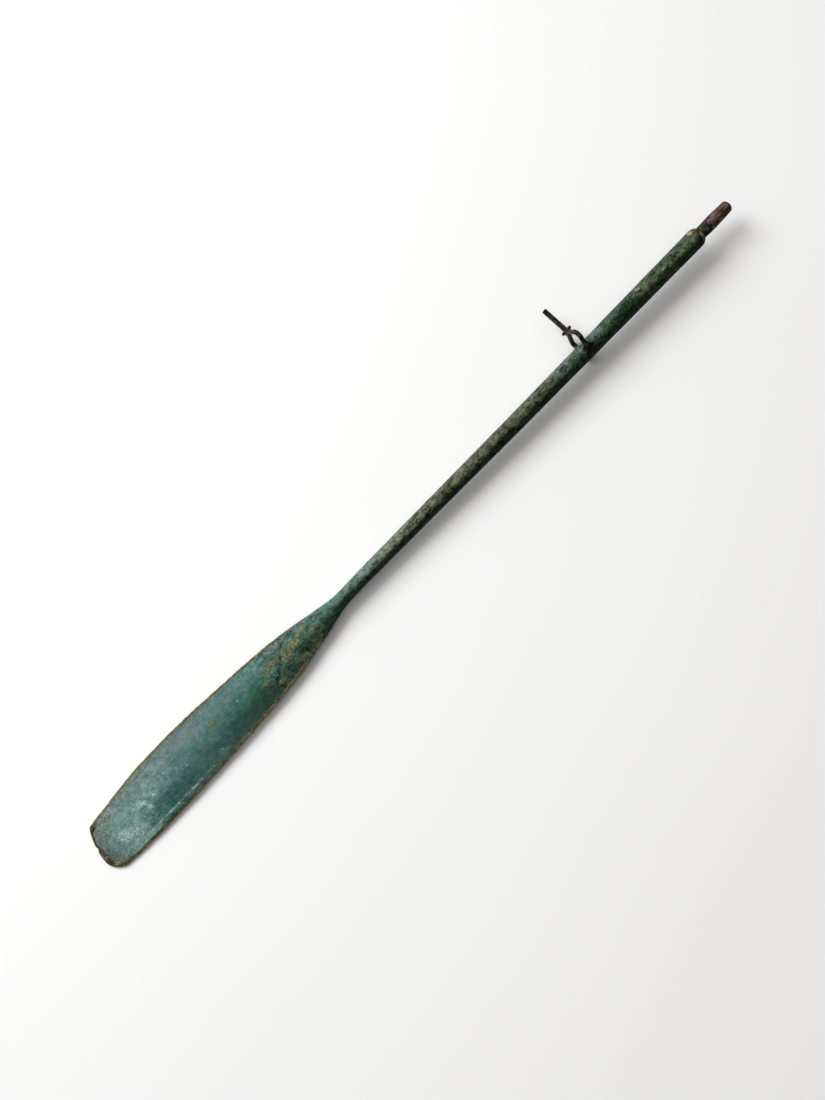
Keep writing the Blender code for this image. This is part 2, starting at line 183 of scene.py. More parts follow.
class Graph:
    """Builds one node material."""

    def __init__(self, name):
        self.material = bpy.data.materials.new(name)
        self.material.use_nodes = True
        self.tree = self.material.node_tree
        self.shader = self.tree.nodes["Principled BSDF"]
        self.place = self.add("ShaderNodeTexCoord").outputs["Object"]

    def add(self, kind, settings=None, **inputs):
        node = self.tree.nodes.new(kind)
        for key, value in (settings or {}).items():
            setattr(node, key, value)
        for key, value in inputs.items():
            self.put(node.inputs[key.replace("_", " ")], value)
        return node

    def put(self, socket, value):
        if isinstance(value, bpy.types.NodeSocket):
            self.tree.links.new(value, socket)
        elif isinstance(value, tuple) and len(value) == 3 and socket.type == "RGBA":
            socket.default_value = (*value, 1.0)
        else:
            socket.default_value = value

    def math(self, operation, a, b=0.0, clamped=False):
        node = self.add("ShaderNodeMath", {"operation": operation, "use_clamp": clamped})
        self.put(node.inputs[0], a)
        self.put(node.inputs[1], b)
        return node.outputs[0]

    def times(self, a, b):
        return self.math("MULTIPLY", a, b)

    def plus(self, *parts):
        total = parts[0]
        for part in parts[1:]:
            total = self.math("ADD", total, part)
        return total

    def mix(self, factor, a, b):
        """Colour a, turning to colour b as the factor goes to 1."""
        node = self.add("ShaderNodeMix", {"data_type": "RGBA"})
        self.put(node.inputs[0], factor)
        self.put(node.inputs[6], a)
        self.put(node.inputs[7], b)
        return node.outputs[2]

    def between(self, factor, a, b):
        node = self.add("ShaderNodeMix", {"data_type": "FLOAT"})
        self.put(node.inputs[0], factor)
        self.put(node.inputs[2], a)
        self.put(node.inputs[3], b)
        return node.outputs[0]

    def stretch(self, along, across=1.0):
        """Object coordinates scaled along and across the oar."""
        node = self.add("ShaderNodeMapping")
        self.put(node.inputs["Vector"], self.place)
        node.inputs["Scale"].default_value = (along, across, across)
        return node.outputs[0]

    def noise(self, scale, detail=3.0, place=None, roughness=0.5, distortion=0.0):
        node = self.add("ShaderNodeTexNoise", Scale=scale, Detail=detail,
                        Roughness=roughness, Distortion=distortion)
        self.put(node.inputs["Vector"], place or self.place)
        return node.outputs["Fac"]

    def ramp(self, factor, low, high):
        """0 below low and 1 above high, smooth between them."""
        node = self.add("ShaderNodeMapRange", {"interpolation_type": "SMOOTHSTEP"})
        self.put(node.inputs["Value"], factor)
        self.put(node.inputs["From Min"], low)
        self.put(node.inputs["From Max"], high)
        return node.outputs[0]

    def attribute(self, name, output="Fac"):
        return self.add("ShaderNodeAttribute", {"attribute_name": name}).outputs[output]

    def vary(self, colour, value, hue=0.5, saturation=1.0):
        """A colour made lighter, darker or slightly different in hue."""
        node = self.add("ShaderNodeHueSaturation", Hue=hue, Saturation=saturation, Value=value)
        self.put(node.inputs["Color"], colour)
        return node.outputs[0]

    def around(self, middle, *parts):
        """A middle value plus (noise, strength) pairs, each noise taken about one half."""
        total = middle
        for source, strength in parts:
            total = self.plus(self.times(self.math("SUBTRACT", source, 0.5), strength), total)
        return total

    def finish(self, colour, roughness, height=None, distance=0.001, metallic=0.0):
        self.put(self.shader.inputs["Base Color"], colour)
        self.put(self.shader.inputs["Roughness"], roughness)
        self.put(self.shader.inputs["Metallic"], metallic)
        if height is not None:
            bumped = self.add("ShaderNodeBump", Height=height, Distance=distance, Strength=1.0)
            self.put(self.shader.inputs["Normal"], bumped.outputs[0])
        return self.material


def oar_material():
    g = Graph("old_green_paint_on_wood")
    stain = g.attribute("stain")

    # Wood: long grain along the oar, darker in the pores, dirty where hands and water reach it
    grain = g.noise(1.0, 5.0, g.stretch(14.0, 330.0), 0.62)
    streak = g.noise(1.0, 3.0, g.stretch(6.0, 110.0), 0.5)
    blotch = g.noise(80.0, 4.0, g.stretch(0.6), 0.6)
    wood = g.mix(g.ramp(grain, 0.36, 0.64), WOOD_PORE, WOOD_GRAIN)
    for noise_value, low, high, share, shade in (
        (streak, 0.50, 0.72, 0.6, WOOD_STREAK),
        (blotch, 0.50, 0.68, 0.65, WOOD_WEATHERED),
        (blotch, 0.47, 0.34, 0.85, WOOD_DIRT),
    ):
        wood = g.mix(g.times(g.ramp(noise_value, low, high), share), wood, shade)

    # Paint: the brushed tint, mottled at four sizes in lightness, hue and strength
    broad = g.noise(24.0, 3.0, g.stretch(0.6), 0.55)
    middle = g.noise(95.0, 4.0, g.stretch(0.7), 0.6)
    small = g.noise(205.0, 5.0, g.stretch(0.75), 0.66)
    fine = g.noise(310.0, 4.0, roughness=0.65)
    hue_noise = g.noise(60.0, 4.0, g.stretch(0.8), 0.6)
    swing = g.around(0.0, (broad, 1.4), (middle, 3.4), (small, 2.6))
    lightness = g.plus(g.times(swing, g.attribute("mottle")), g.around(1.17, (fine, 1.6)))
    lightness = g.math("MAXIMUM", lightness, 0.12)
    hue = g.around(0.5, (hue_noise, 0.10))
    saturation = g.around(1.0, (middle, -1.1))
    paint = g.vary(g.attribute("tint", "Color"), lightness, hue, saturation)

    # Ochre and olive weathering, broken up by fine noise
    lumps = g.noise(150.0, 8.0, g.stretch(0.7), 0.72, 0.9)
    stained = g.ramp(g.plus(lumps, g.times(stain, 0.29)), 0.60, 0.95)
    pale_noise = g.noise(230.0, 5.0, roughness=0.65)
    pale = g.ramp(g.plus(pale_noise, g.times(stain, 0.19)), 0.60, 0.96)
    stain_lightness = g.math("MAXIMUM", g.around(1.0, (fine, 2.2), (small, 2.0)), 0.2)
    stain_colour = g.vary(g.mix(pale, STAIN_OLIVE, STAIN_OCHRE), stain_lightness)
    paint = g.mix(stained, paint, stain_colour)
    wood = g.mix(g.times(stained, 0.75), wood, stain_colour)

    # Pale flecks where the top coat has flaked to its chalky undercoat, partly a painted highlight
    # along the back ridge
    fleck_noise = g.noise(330.0, 6.0, g.stretch(0.9), 0.72)
    fleck_and_highlight = g.ramp(g.plus(fleck_noise, g.times(g.attribute("speckle_and_highlight"), 0.24)), 0.66, 0.88)
    frost_and_highlight = g.mix(g.ramp(fleck_and_highlight, 0.3, 0.9), FLECK_THIN, FLECK_CHALK)
    paint = g.mix(g.times(fleck_and_highlight, 0.8), paint, frost_and_highlight)
    # Black pits of dirt, and painted shade round the bolt, on the blade's root and by its back
    # edge
    dirt_noise = g.noise(120.0, 6.0, g.stretch(0.6), 0.66)
    dirt_and_shade = g.ramp(g.plus(dirt_noise, g.times(g.attribute("grime_and_shade"), 0.34)), 0.70, 0.86)
    paint = g.mix(dirt_and_shade, paint, PAINT_DIRT_AND_SHADE)

    # Bare wood breaks through where the mask and the noise agree
    breakup = g.noise(115.0, 6.0, g.stretch(0.35), 0.68)
    level = g.plus(breakup, g.attribute("bare"))
    worn = g.ramp(level, 0.98, 1.09)
    paint = g.mix(g.times(g.ramp(level, 0.90, 1.0), 0.7), paint, PAINT_RUBBED)
    colour = g.mix(worn, paint, wood)

    gloss = g.around(0.56, (g.noise(55.0, 4.0), 0.7), (fine, 0.35))
    height = g.plus(
        g.times(g.math("SUBTRACT", 1.0, worn), 0.5),
        g.times(grain, g.plus(0.16, g.times(worn, 0.5))),
        g.times(fine, 0.25),
        g.times(middle, 0.35),
        g.times(fleck_and_highlight, -0.22),
        g.times(stained, -0.12),
    )
    g.shader.inputs["Specular IOR Level"].default_value = 0.05
    return g.finish(colour, g.between(worn, gloss, 0.76), height, PAINT_BUMP)


def iron_material(name, dark, brown, rubbed, metallic, smooth):
    """Old iron: patchy patina, rust in the hollows, edges rubbed brighter, and near-black painted
    shade round the bolt.
    """
    g = Graph(name)
    patches = g.noise(130.0, 5.0, roughness=0.62)
    fine = g.noise(640.0, 4.0, roughness=0.65)
    pits = g.noise(1300.0, 2.0)
    colour = g.mix(g.ramp(patches, 0.40, 0.62), dark, brown)
    rust_noise = g.noise(330.0, 5.0, roughness=0.7)
    rust = g.ramp(g.plus(rust_noise, g.times(g.attribute("hollow"), 0.16)), 0.60, 0.72)
    rust_colour = g.mix(g.ramp(fine, 0.42, 0.62), RUST_DARK, RUST_LIGHT)
    colour = g.mix(g.times(rust, 0.7), colour, rust_colour)
    patina = g.times(g.attribute("patina"), g.ramp(patches, 0.36, 0.56))
    colour = g.mix(patina, colour, PATINA)
    edge_noise = g.noise(260.0, 4.0, roughness=0.6)
    bright = g.ramp(g.plus(edge_noise, g.times(g.attribute("edge"), 0.30)), 0.64, 0.80)
    colour = g.mix(g.times(bright, 0.75), colour, rubbed)
    lightness = g.math("MAXIMUM", g.around(1.0, (fine, 1.8), (patches, 1.2)), 0.2)
    colour = g.vary(colour, lightness)
    # Near-black painted shade over the eye, bolt head, nut and washers round the bolt
    bolt_shade = g.times(g.attribute("bolt_shade"), g.ramp(fine, 0.84, 0.60))
    colour = g.mix(bolt_shade, colour, BOLT_SHADE_COLOUR)
    roughness = g.around(g.plus(smooth, g.times(rust, 0.28)), (fine, 0.30), (patches, 0.35))
    roughness = g.math("SUBTRACT", roughness, g.times(bright, 0.10), True)
    metal = g.math("SUBTRACT", metallic, g.times(rust, 0.6), True)
    height = g.plus(g.times(patches, 0.5), g.times(fine, 0.40), g.times(pits, 0.22),
                    g.times(rust, 0.18))
    g.shader.inputs["Specular IOR Level"].default_value = 0.3
    g.shader.inputs["Specular Tint"].default_value = IRON_SPECULAR_TINT
    return g.finish(colour, roughness, height, IRON_BUMP, metal)


# ---------------- the oar

SECTION_POINTS = 96

# Half widths of the blade, from the neck to the tip: (share of its length, share of the way out)
NEAR_EDGE = (
    (0.0, 0.0), (0.027, 0.024), (0.06, 0.112), (0.147, 0.39), (0.28, 0.69),
    (0.456, 0.88), (0.63, 0.996), (0.75, 0.97), (0.858, 0.826), (1.0, 0.565),
)
FAR_EDGE = (
    (0.0, 0.0), (0.027, 0.022), (0.06, 0.105), (0.147, 0.36), (0.28, 0.674),
    (0.456, 0.86), (0.63, 0.984), (0.777, 1.048), (0.871, 1.044), (1.0, 0.96),
)


def edge_at(outline, corner, fullness, offset, v):
    """A blade edge's distance from the axis, with its corner at the tip rounded."""
    side = NECK_RADIUS + (HALF_WIDTH - NECK_RADIUS) * smooth_curve(outline, v / BLADE_LENGTH)
    from_tip = BLADE_LENGTH - v
    if from_tip >= corner:
        return side
    return offset + (side - offset) * quarter(from_tip / corner, fullness)


def near_edge(v):
    return edge_at(NEAR_EDGE, 0.0275, 1.5, -TIP_OFFSET, v)


def far_edge(v):
    return edge_at(FAR_EDGE, 0.036, 2.0, TIP_OFFSET, v)


def blade_half_thickness(v, across, half_width):
    """The spine that dies away from the neck, on a blade with rounded edges."""
    flat = fade(v / SPINE_LENGTH)
    low = quarter(v / SPINE_LENGTH, 1.6)
    rise = NECK_RADIUS + (CROWN - NECK_RADIUS) * low
    sharpness = 0.5 + 1.5 * flat
    rounding = max(0.007 * flat, 1e-6)
    to_side = (1 - abs(across)) * half_width
    edge = quarter(to_side / rounding, 1.7) * quarter((BLADE_LENGTH - v) / 0.007)
    return edge * (EDGE_HALF * low + rise * (1 - across * across) ** sharpness)


def grip_radius(u):
    return smooth_curve(GRIP_SWELL, u) * quarter(u / GRIP_END_ROUNDING)


def round_radius(u):
    """Radius of the grip, shoulder or loom."""
    if u < GRIP_LENGTH:
        return grip_radius(u)
    if u < LOOM_START:
        start = GRIP_SWELL[-1][1]
        return start + (SHOULDER_RADIUS - start) * quarter((u - GRIP_LENGTH) / SHOULDER_LENGTH)
    share = (u - LOOM_START) / (NECK_AT - LOOM_START)
    return SHOULDER_RADIUS + (NECK_RADIUS - SHOULDER_RADIUS) * share


def bow(u):
    """The loom's slight sideways bend."""
    return LOOM_BOW * fade(u, 0.60, 1.19) * (1 - fade(u, 1.19, 1.33))


def chip(u, side):
    """How far the blade's edge is worn back, in metres."""
    worn = 0.0007 + 0.0007 * rough(u, side, 0, 0.011, 3.1) + 0.0006 * rough(u, side, 0, 0.045, 8.2)
    worn += 0.0011 * max(0.0, rough(u, side, 0, 0.007, 5.7) - 0.25)
    return max(worn, 0.0001)


# Knocks in the wood: (from grip end, across, up, half length, half width, depth) in metres
KNOCKS = (
    (0.113, 0.017, 0.009, 0.007, 0.010, 0.0017),
    (0.105, -0.007, 0.015, 0.004, 0.007, 0.0007),
    (0.107, -0.013, -0.010, 0.006, 0.008, 0.0011),
    (0.222, 0.009, 0.020, 0.012, 0.006, 0.0005),
    (0.291, 0.018, 0.012, 0.009, 0.006, 0.0006),
    (0.655, 0.010, 0.018, 0.016, 0.005, 0.0005),
    (0.790, -0.014, 0.012, 0.010, 0.006, 0.0006),
    (0.930, 0.015, 0.011, 0.014, 0.005, 0.0005),
    (1.052, 0.010, 0.015, 0.009, 0.006, 0.0005),
    (0.036, 0.006, 0.013, 0.011, 0.005, 0.0004),
)
# The notch in the blade's tip: where across the blade, half width and depth
TIP_NOTCH = (0.002, 0.0075, 0.0030)
LOOM_BOW = 0.0030
# How far either end of the mesh stops inside the solid
GRIP_END_GAP = 0.00002
TIP_GAP = 0.0001
# The dents turn from radial to upright over this much each side of the neck
BLEND_HALF = 0.05


def knocked(u, y, z):
    """How deep the knocks are at a place, in metres."""
    depth = 0.0
    for at, across, up, half_length, half_width, deep in KNOCKS:
        if abs(u - at) < half_length:
            off = math.hypot(y - across, z - up)
            depth = max(depth, deep * bump(u, at, half_length) * bump(off, 0.0, half_width))
    return depth


def oar_places():
    """Where the sections stand along the oar, closest at its ends and its shoulder."""
    places = []
    u = 0.0
    while u < OAR_LENGTH:
        places.append(u)
        step = 0.0021
        if u < 0.010:
            step = 0.0002 + u * 0.09
        elif GRIP_LENGTH - 0.004 < u < LOOM_START + 0.002:
            step = 0.0007
        elif u > OAR_LENGTH - 0.040:
            step = max(0.00012, (OAR_LENGTH - u) * 0.055)
        u += step
    return [p for p in places[1:] if p < OAR_LENGTH - 0.00015]


def oar_point(u, k):
    """A point of the oar's skin in its own frame, with what the paint needs to know there."""
    a = math.tau * k / SECTION_POINTS
    c, s = math.cos(a), math.sin(a)
    x = BOLT_AT - u
    if u <= NECK_AT:
        half = round_radius(u)
        y, z = half * c, half * s
    else:
        v = u - NECK_AT
        near, far = near_edge(v), far_edge(v)
        flare = fade(v, 0.02, 0.12)
        if near > 0:
            near -= flare * chip(u, 1)
        far -= flare * chip(u, -1)
        half = (near + far) / 2
        y = (near - far) / 2 + half * c
        z = math.copysign(blade_half_thickness(v, c, half), s)
    dent = 0.00028 * rough(x, y, z, 0.030, 1.0) + 0.00022 * rough(x, y, z, 0.011, 2.0)
    dent = (dent - 0.0003) * (1 - bump(u, BOLT_AT, 0.035)) - knocked(u, y, z)
    radial = Vector((0, y, z))
    size = radial.length
    flat = fade(u, NECK_AT - BLEND_HALF, NECK_AT + BLEND_HALF)
    if u <= NECK_AT + BLEND_HALF and size > 1e-6:
        keep = 1 - flat
        y += y / size * dent * keep
        z += z / size * dent * keep
    if u > NECK_AT - BLEND_HALF:
        z += math.copysign(1, z) * dent * flat * clamp(abs(z) / 0.003)
    notch_at, notch_half, notch_depth = TIP_NOTCH
    notch = bump(y, notch_at, notch_half) * fade(u, OAR_LENGTH - 0.018, OAR_LENGTH - 0.002)
    x += notch_depth * notch
    return Vector((x, y + bow(u), z)), u, c, s, half


# Paint from the grip to the tip, its back edge's side darkened with painted shade, as that side
# faces away from the light: (from grip end, back edge's side, middle, oarlock's side)
PAINT_AND_SHADE = (
    (0.07, (0.004, 0.005, 0.003), (0.016, 0.017, 0.011), (0.022, 0.025, 0.018)),
    (0.10, (0.004, 0.005, 0.003), (0.020, 0.022, 0.014), (0.024, 0.030, 0.021)),
    (0.13, (0.009, 0.020, 0.010), (0.066, 0.078, 0.046), (0.033, 0.049, 0.037)),
    (0.24, (0.008, 0.018, 0.009), (0.048, 0.068, 0.036), (0.028, 0.047, 0.030)),
    (0.35, (0.006, 0.015, 0.007), (0.010, 0.024, 0.009), (0.024, 0.054, 0.035)),
    (0.50, (0.008, 0.018, 0.010), (0.042, 0.072, 0.048), (0.068, 0.098, 0.080)),
    (0.62, (0.008, 0.017, 0.008), (0.050, 0.064, 0.034), (0.073, 0.084, 0.061)),
    (0.90, (0.009, 0.018, 0.008), (0.058, 0.064, 0.037), (0.076, 0.082, 0.057)),
    (1.08, (0.012, 0.024, 0.013), (0.104, 0.118, 0.080), (0.092, 0.108, 0.082)),
    (1.19, (0.012, 0.032, 0.021), (0.082, 0.126, 0.104), (0.086, 0.130, 0.114)),
    (1.26, (0.010, 0.028, 0.018), (0.046, 0.082, 0.060), (0.084, 0.164, 0.136)),
    (1.33, (0.010, 0.023, 0.013), (0.040, 0.070, 0.048), (0.067, 0.116, 0.094)),
    (1.41, (0.012, 0.032, 0.020), (0.016, 0.048, 0.034), (0.060, 0.117, 0.099)),
    (1.51, (0.016, 0.040, 0.028), (0.028, 0.097, 0.067), (0.074, 0.155, 0.140)),
    (1.60, (0.018, 0.050, 0.042), (0.040, 0.106, 0.088), (0.084, 0.149, 0.141)),
    (1.68, (0.031, 0.072, 0.064), (0.058, 0.122, 0.112), (0.102, 0.157, 0.152)),
    (1.80, (0.028, 0.080, 0.071), (0.078, 0.148, 0.139), (0.119, 0.179, 0.169)),
    (1.90, (0.120, 0.200, 0.185), (0.120, 0.200, 0.188), (0.122, 0.190, 0.178)),
    (1.97, (0.055, 0.085, 0.074), (0.072, 0.100, 0.088), (0.076, 0.102, 0.088)),
)
# Where those three colours stand across the section, from -1 to 1
ACROSS = (-0.46, 0.07, 0.60)
UNDERSIDE = (0.026, 0.060, 0.038)
SEAT_COLOUR = (0.006, 0.006, 0.004)

# Weathering, one by one: (from grip end, across, half length, half width, strength) in metres
STAINS = (
    (0.120, 0.016, 0.009, 0.008, 1.8), (0.103, -0.006, 0.006, 0.012, 1.6),
    (0.091, 0.005, 0.007, 0.006, 0.9), (0.084, -0.007, 0.006, 0.005, 0.8),
    (0.148, -0.003, 0.009, 0.005, 1.2), (0.176, -0.001, 0.014, 0.006, 0.8),
    (0.224, 0.002, 0.012, 0.005, 1.4), (0.241, 0.006, 0.006, 0.004, 1.0),
    (0.203, -0.019, 0.010, 0.004, 0.8), (0.299, 0.012, 0.007, 0.005, 1.4),
    (0.287, 0.001, 0.010, 0.005, 1.0), (0.283, -0.014, 0.009, 0.004, 0.9),
    (0.585, 0.006, 0.014, 0.006, 0.9), (0.622, 0.010, 0.012, 0.005, 1.1),
    (0.682, 0.004, 0.025, 0.008, 1.1), (0.722, 0.012, 0.012, 0.005, 1.0),
    (0.803, 0.006, 0.019, 0.007, 0.9), (0.838, 0.012, 0.010, 0.005, 1.1),
    (0.893, 0.002, 0.017, 0.007, 1.2), (0.948, 0.008, 0.012, 0.005, 1.2),
    (0.976, 0.003, 0.010, 0.005, 1.3), (1.003, 0.007, 0.011, 0.005, 1.0),
    (1.058, 0.006, 0.015, 0.005, 1.4), (1.088, 0.010, 0.010, 0.005, 1.3),
    (1.205, 0.008, 0.018, 0.008, 0.8), (1.229, 0.006, 0.016, 0.010, 0.9),
    (1.325, -0.016, 0.039, 0.013, 0.8), (1.362, 0.018, 0.030, 0.012, 1.1),
    (1.386, 0.010, 0.030, 0.012, 1.2), (1.410, 0.000, 0.028, 0.012, 1.1),
    (1.437, 0.014, 0.039, 0.012, 1.1), (1.387, -0.025, 0.030, 0.014, 0.9),
    (1.453, -0.029, 0.023, 0.013, 0.9), (1.463, 0.004, 0.018, 0.009, 1.0),
    (1.487, -0.008, 0.014, 0.013, 0.8), (1.475, -0.020, 0.016, 0.009, 0.8),
    (1.624, 0.012, 0.013, 0.011, 1.1), (1.671, 0.033, 0.009, 0.008, 1.0),
    (1.671, 0.020, 0.007, 0.006, 0.9), (1.611, -0.027, 0.008, 0.007, 0.9),
    (1.925, 0.027, 0.020, 0.018, 0.9), (1.541, 0.045, 0.010, 0.006, 0.7),
    (1.590, 0.060, 0.024, 0.008, 1.3), (1.671, 0.064, 0.014, 0.007, 1.3),
    (1.860, 0.052, 0.060, 0.008, 0.9), (1.955, -0.046, 0.022, 0.012, 1.2),
)

# Pale flecks: the same, gathered where the paint has blistered; the one at 1.425 by the oarlock's
# edge is partly a painted highlight
FLECKS = (
    (1.342, 0.030, 0.040, 0.010, 0.5), (1.425, 0.036, 0.040, 0.008, 0.8),
    (1.465, -0.014, 0.022, 0.012, 0.7), (1.395, -0.012, 0.030, 0.012, 0.5),
    (1.790, 0.036, 0.040, 0.014, 0.5), (1.850, 0.020, 0.050, 0.030, 0.6),
    (1.880, -0.030, 0.030, 0.016, 0.9), (1.640, -0.044, 0.030, 0.008, 0.8),
    (1.940, 0.004, 0.020, 0.020, 0.6), (1.429, -0.009, 0.018, 0.012, 0.8),
    (1.441, 0.038, 0.006, 0.004, 1.5), (1.260, 0.008, 0.040, 0.008, 0.6),
    (1.553, 0.010, 0.005, 0.004, 1.6), (1.505, 0.008, 0.030, 0.030, 0.4),
    (1.730, -0.010, 0.020, 0.006, 0.9), (1.762, -0.011, 0.024, 0.006, 1.0),
    (1.767, 0.016, 0.008, 0.006, 1.1), (1.818, -0.004, 0.016, 0.014, 1.1),
    (1.846, 0.002, 0.018, 0.013, 1.2), (1.816, 0.031, 0.010, 0.007, 1.1),
    (1.834, -0.014, 0.014, 0.010, 1.2), (1.826, 0.012, 0.024, 0.012, 0.9),
    (1.884, 0.031, 0.016, 0.008, 0.9), (1.860, 0.014, 0.020, 0.012, 0.7),
    (1.912, -0.022, 0.034, 0.020, 1.15), (1.888, -0.042, 0.024, 0.008, 1.0),
    (0.560, 0.006, 0.030, 0.006, 0.4), (1.700, 0.030, 0.040, 0.015, 0.3),
)
BACK_RIDGE_Y = -0.052
ROOT_AT = 1.39
ROOT_HALF = 0.13
LEVELS = ("bare", "stain", "speckle_and_highlight", "grime_and_shade", "mottle")


def mix3(a, b, t):
    return tuple(x + (y - x) * t for x, y in zip(a, b))


def patches_at(patches, u, y, ragged):
    """The strongest of the listed patches at a place."""
    strongest = 0.0
    for at, across, half_length, half_width, strength in patches:
        if abs(u - at) < 1.6 * half_length:
            off = math.hypot((u - at) / half_length, (y - across) / half_width)
            strongest = max(strongest, strength * fade(1.25 + ragged - off))
    return strongest


def tint_at(u, c, s, ragged):
    """The paint's colour before its fine mottling, with painted shade towards the back edge's
    side.
    """
    last = len(PAINT_AND_SHADE) - 2
    i = next((k for k in range(last) if u < PAINT_AND_SHADE[k + 1][0]), last)
    t = fade(u + 0.012 * ragged, PAINT_AND_SHADE[i][0], PAINT_AND_SHADE[i + 1][0])
    back, middle, front = (mix3(a, b, t) for a, b in zip(PAINT_AND_SHADE[i][1:], PAINT_AND_SHADE[i + 1][1:]))
    place = c + 0.22 * ragged + 0.13 * (1 - fade(u, 1.12, 1.28))
    back = mix3(back, UNDERSIDE, 0.85 * fade(-s, 0.10, 0.55) * (1 - fade(u, 1.25, 1.35)))
    # Towards the back edge the tint turns to its darkest colour, which is painted shade
    if place < ACROSS[1]:
        return mix3(back, middle, fade(place, *ACROSS[:2]))
    return mix3(middle, front, fade(place, *ACROSS[1:]))


def bare_at(u, c, ragged, from_edge, from_tip):
    """How far the paint is worn off, about 0 to 1."""
    grip = 1 - fade(u + 0.034 * ragged, 0.030, 0.112)
    shoulder = bump(u, GRIP_LENGTH + 0.006, 0.014)
    bare = max(0.84 * grip, 0.80 * shoulder)
    if u > NECK_AT + 0.06:
        start, width = (0.0030, 0.0120) if c < 0 else (0.0020, 0.0100)
        if c > 0:
            at_tip = fade(u, 1.93, 1.955)
            start += 0.006 * at_tip
            width += 0.013 * at_tip
        edge = 1 - fade(from_edge, start, width)
        bare = max(bare, 0.68 * edge * fade(u, NECK_AT + 0.08, NECK_AT + 0.18))
        bare = max(bare, 0.86 * (1 - fade(from_tip + 0.006 * ragged, 0.004, 0.024)))
    return bare


def stain_at(u, c, y, ragged, from_edge, on_blade):
    """Ochre weathering: the patches, the blade's root and rim, and the worn loom."""
    on_loom = 0.55 * fade(u, 0.54, 0.66) * (1 - fade(u, 1.10, 1.18))
    behind_grip = 0.58 * (1 - fade(u, 0.50, 0.60)) * fade(u, 0.12, 0.14)
    root = 0.75 * bump(u, ROOT_AT, ROOT_HALF) * on_blade
    if c > 0:
        rim = 0.011 + 0.009 * fade(u, 1.66, 1.78)
    else:
        rim = 0.011 + 0.004 * (1 - fade(u, 1.60, 1.70))
    at_edge = on_blade * (1 - fade(from_edge + 0.004 * ragged, 0.002, rim))
    at_edge *= 1.7 * clamp(0.72 + 1.1 * ragged) if c < 0 and u < 1.62 else 1.15
    return max(
        patches_at(STAINS, u, y, ragged),
        root * clamp(0.55 + 1.5 * ragged),
        on_loom * (fade(c, -0.4, 0.3) + ragged),
        at_edge,
        behind_grip * clamp(0.5 + 1.6 * ragged),
    )


def speckle_and_highlight_at(u, c, y, ragged, on_blade):
    """Pale flecks: the patches and frosting towards the tip, and a pale line along the ridge by
    the back edge that is partly a painted highlight.
    """
    # The pale line along this ridge is partly a painted highlight
    ridge = 1.35 * bump(y + 0.003 * ragged, BACK_RIDGE_Y, 0.0060)
    ridge *= fade(u, 1.62, 1.70) * (1 - fade(u, 1.86, 1.91))
    frosted = 0.30 * on_blade + 0.50 * fade(u, 1.74, 1.84) * clamp(0.85 + 0.9 * ragged)
    return max(patches_at(FLECKS, u, y, ragged), ridge * clamp(0.85 + 0.8 * ragged),
               frosted * fade(c, -0.7, 0.1))


def grime_and_shade_at(u, c, ragged, from_edge, on_blade):
    """Black: dirt beside the shoulder, and painted shade round the bolt, on the blade's root and
    by its back edge.
    """
    # Round the bolt, on the blade's root and by its back edge this is painted shade on the sides
    # away from the light; beside the shoulder it is dirt
    bolt = 1.7 * bump(u, BOLT_AT - 0.006, 0.050) * fade(-c, -0.62, 0.1)
    root = 0.60 * bump(u, ROOT_AT, ROOT_HALF) * (1 - 0.8 * fade(c, 0.15, 0.5))
    edge = 0.0
    if c < 0:
        edge = 0.8 * on_blade * bump(from_edge, 0.009, 0.007) * (1 - 0.7 * fade(u, 1.60, 1.75))
    return max(bolt * clamp(0.8 + 0.9 * ragged), 0.7 * bump(u, GRIP_LENGTH - 0.018, 0.022),
               root * clamp(0.6 - ragged), edge)


def mottle_at(u, c):
    """How strongly the paint is mottled. It is smoothest in the middle of the blade."""
    smooth = fade(u, 1.45, 1.52) * (1 - 0.35 * fade(u, 1.70, 1.80))
    calm = fade(u, 1.12, 1.22) * fade(c, 0.0, 0.5) * (1 - smooth)
    on_root = 0.5 * bump(u, ROOT_AT, 0.12)
    return 1.38 + 0.22 * (1 - fade(u, 1.02, 1.16)) - 1.04 * smooth + on_root - 0.45 * calm


def paint_at(point, u, c, s, half):
    """The tint at a point of the oar's skin, and its LEVELS."""
    x, y, z = point
    from_edge = (1 - abs(c)) * half
    ragged = 0.55 * rough(x, y, z, 0.034, 11.0) + 0.45 * rough(x, y, z, 0.011, 12.0)
    on_blade = fade(u, 1.28, 1.38)
    stain = stain_at(u, c, y, ragged, from_edge, on_blade)
    levels = (
        bare_at(u, c, ragged, from_edge, OAR_LENGTH - u),
        stain,
        speckle_and_highlight_at(u, c, y, ragged, on_blade),
        grime_and_shade_at(u, c, ragged, from_edge, on_blade) * (1 - clamp(stain)),
        mottle_at(u, c),
    )
    return (*tint_at(u, c, s, ragged), 1.0), levels


